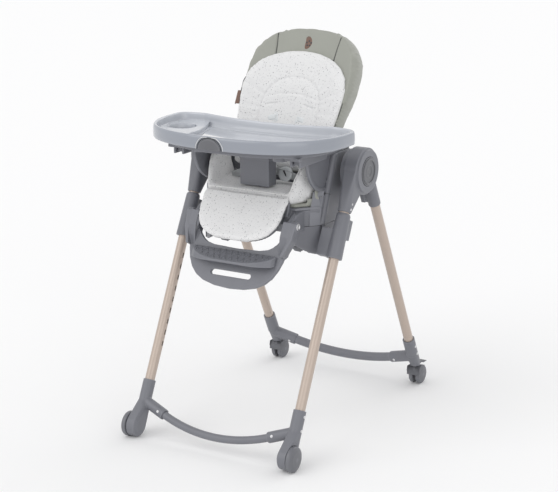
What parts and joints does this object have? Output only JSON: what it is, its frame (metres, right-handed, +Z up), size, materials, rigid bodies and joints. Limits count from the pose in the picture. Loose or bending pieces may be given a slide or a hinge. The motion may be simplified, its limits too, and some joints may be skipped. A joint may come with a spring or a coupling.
{
  "type": "baby high chair",
  "caption": "Folding baby high chair on an A-frame with casters, height-adjustable reclining seat, calf rest, footrest and lift-off tray.",
  "frame": {"origin": "on the floor at the middle of the footprint", "axes": "+Z up, -Y the way the seat faces, +X to the right for someone who faces the chair"},
  "size_m": [0.55, 0.84, 1.0538],
  "materials": {
    "tube": "satin champagne paint",
    "shell": "fine-grained moulded plastic",
    "dark": "dark moulded plastic",
    "wheel": "hard wheel",
    "steel": "zinc-plated",
    "leatherette": "sage leatherette",
    "inlay": "speckled off-white fabric",
    "webbing": "light grey webbing",
    "clip": "light grey clip plastic",
    "tray": "blue-grey gloss plastic",
    "clear": "highly glossy light panel",
    "button": "button plastic"
  },
  "bodies": {
    "front_frame": {"front_leg_tube_left": "tube", "front_leg_tube_right": "tube", "front_crossbar": "shell", "front_foot_left": "shell", "front_foot_right": "shell", "front_axles": "steel", "hub_arm_left": "shell", "hub_arm_right": "shell", "hub_pins": "steel"},
    "rear_frame": {"rear_leg_tube_left": "tube", "rear_leg_tube_right": "tube", "rear_crossbar": "shell", "rear_foot_left": "shell", "rear_foot_right": "shell", "rear_leg_socket_left": "shell", "rear_leg_socket_right": "shell"},
    "seat": {"carriage_left": "shell", "carriage_right": "shell", "seat_base": "shell", "seat_bucket": "shell", "side_cover_left": "shell", "side_cover_right": "shell", "side_panel_left": "shell", "side_panel_right": "shell", "armrest_left": "shell", "armrest_right": "shell", "seat_cover": "leatherette", "seat_inlay": "inlay", "seat_pins": "steel", "crotch_strap": "webbing", "buckle": "clip"},
    "backrest": {"back_shell": "shell", "back_cover": "leatherette", "back_inlay": "inlay", "shoulder_straps": "webbing"},
    "recline_handle": {"recline_lever": "dark"},
    "calf_rest": {"calf_board": "dark", "calf_pad": "inlay"},
    "foot_rest": {"footrest": "shell", "footrest_tread": "dark"},
    "tray": {"tray_base": "shell"},
    "tray_top": {"tray_insert": "tray", "tray_window": "clear"},
    "tray_catch": {"tray_release": "button"},
    "harness_button": {"buckle_button": "button"},
    "wheel_front_left": {"front_wheel_left": "wheel"},
    "caster_left": {"caster_body_left": "dark"},
    "caster_roller_left": {"caster_wheels_left": "wheel"},
    "brake_left": {"caster_brake_left": "dark"},
    "fold_release_left": {"fold_button_left": "button"},
    "height_release_left": {"height_button_left": "button"},
    "adjuster_left": {"strap_adjuster_left": "clip"},
    "wheel_front_right": {"front_wheel_right": "wheel"},
    "caster_right": {"caster_body_right": "dark"},
    "caster_roller_right": {"caster_wheels_right": "wheel"},
    "brake_right": {"caster_brake_right": "dark"},
    "fold_release_right": {"fold_button_right": "button"},
    "height_release_right": {"height_button_right": "button"},
    "adjuster_right": {"strap_adjuster_right": "clip"}
  },
  "joints": [
    {"name": "frame_fold", "type": "hinge", "parent": "front_frame", "child": "rear_frame", "pos_m": [0, 0, 0.714], "axis": [-1, 0, 0], "range_deg": [0, 44]},
    {"name": "seat_height", "type": "slide", "parent": "front_frame", "child": "seat", "axis": [0, -0.4368, -0.8996], "range_m": [0, 0.24]},
    {"name": "back_recline", "type": "hinge", "parent": "seat", "child": "backrest", "pos_m": [0, 0.005, 0.648], "axis": [-1, 0, 0], "range_deg": [-10, 20]},
    {"name": "calf_tilt", "type": "hinge", "parent": "seat", "child": "calf_rest", "pos_m": [0, -0.176, 0.65], "axis": [-1, 0, 0], "range_deg": [0, 48]},
    {"name": "foot_tilt", "type": "hinge", "parent": "seat", "child": "foot_rest", "pos_m": [0, -0.212, 0.597], "axis": [1, 0, 0], "range_deg": [0, 40]},
    {"name": "tray_slide", "type": "slide", "parent": "seat", "child": "tray", "axis": [0, -1, 0], "range_m": [0, 0.09]},
    {"name": "tray_lift", "type": "slide", "parent": "tray", "child": "tray_top", "axis": [0, 0, 1], "range_m": [0, 0.08]},
    {"name": "tray_press", "type": "slide", "parent": "tray_top", "child": "tray_catch", "axis": [0, 1, 0], "range_m": [0, 0.003], "stiffness_N_per_m": 400},
    {"name": "recline_pull", "type": "hinge", "parent": "backrest", "child": "recline_handle", "pos_m": [0, 0.1379, 0.95289], "axis": [1, 0, 0], "range_deg": [0, 18], "stiffness_Nm_per_rad": 0.5},
    {"name": "buckle_press", "type": "slide", "parent": "seat", "child": "harness_button", "axis": [0, 0.9397, -0.342], "range_m": [0, 0.002], "stiffness_N_per_m": 300},
    {"name": "front_wheel_spin_left", "type": "hinge", "parent": "front_frame", "child": "wheel_front_left", "pos_m": [-0.235, -0.386, 0.034], "axis": [1, 0, 0], "continuous": true},
    {"name": "caster_swivel_left", "type": "hinge", "parent": "rear_frame", "child": "caster_left", "pos_m": [-0.235, 0.369, 0.058], "axis": [0, 0, 1], "continuous": true},
    {"name": "caster_roll_left", "type": "hinge", "parent": "caster_left", "child": "caster_roller_left", "pos_m": [-0.235, 0.386, 0.028], "axis": [1, 0, 0], "continuous": true},
    {"name": "brake_press_left", "type": "hinge", "parent": "caster_left", "child": "brake_left", "pos_m": [-0.235, 0.392, 0.0615], "axis": [-1, 0, 0], "range_deg": [0, 12], "stiffness_Nm_per_rad": 0.5},
    {"name": "fold_press_left", "type": "slide", "parent": "front_frame", "child": "fold_release_left", "axis": [1, 0, 0], "range_m": [0, 0.003], "stiffness_N_per_m": 600},
    {"name": "height_press_left", "type": "slide", "parent": "seat", "child": "height_release_left", "axis": [0, -0.8996, 0.4368], "range_m": [0, 0.002], "stiffness_N_per_m": 600},
    {"name": "strap_adjust_left", "type": "slide", "parent": "backrest", "child": "adjuster_left", "axis": [0.2588, -0.4385, -0.8606], "range_m": [0, 0.05]},
    {"name": "front_wheel_spin_right", "type": "hinge", "parent": "front_frame", "child": "wheel_front_right", "pos_m": [0.235, -0.386, 0.034], "axis": [1, 0, 0], "continuous": true},
    {"name": "caster_swivel_right", "type": "hinge", "parent": "rear_frame", "child": "caster_right", "pos_m": [0.235, 0.369, 0.058], "axis": [0, 0, 1], "continuous": true},
    {"name": "caster_roll_right", "type": "hinge", "parent": "caster_right", "child": "caster_roller_right", "pos_m": [0.235, 0.386, 0.028], "axis": [1, 0, 0], "continuous": true},
    {"name": "brake_press_right", "type": "hinge", "parent": "caster_right", "child": "brake_right", "pos_m": [0.235, 0.392, 0.0615], "axis": [-1, 0, 0], "range_deg": [0, 12], "stiffness_Nm_per_rad": 0.5},
    {"name": "fold_press_right", "type": "slide", "parent": "front_frame", "child": "fold_release_right", "axis": [-1, 0, 0], "range_m": [0, 0.003], "stiffness_N_per_m": 600},
    {"name": "height_press_right", "type": "slide", "parent": "seat", "child": "height_release_right", "axis": [0, -0.8996, 0.4368], "range_m": [0, 0.002], "stiffness_N_per_m": 600},
    {"name": "strap_adjust_right", "type": "slide", "parent": "backrest", "child": "adjuster_right", "axis": [-0.2588, -0.4385, -0.8606], "range_m": [0, 0.05]}
  ],
  "couplings": [
    {"joint": "fold_press_left", "follows": "fold_press_right", "ratio": 1},
    {"joint": "height_press_left", "follows": "height_press_right", "ratio": 1}
  ]
}
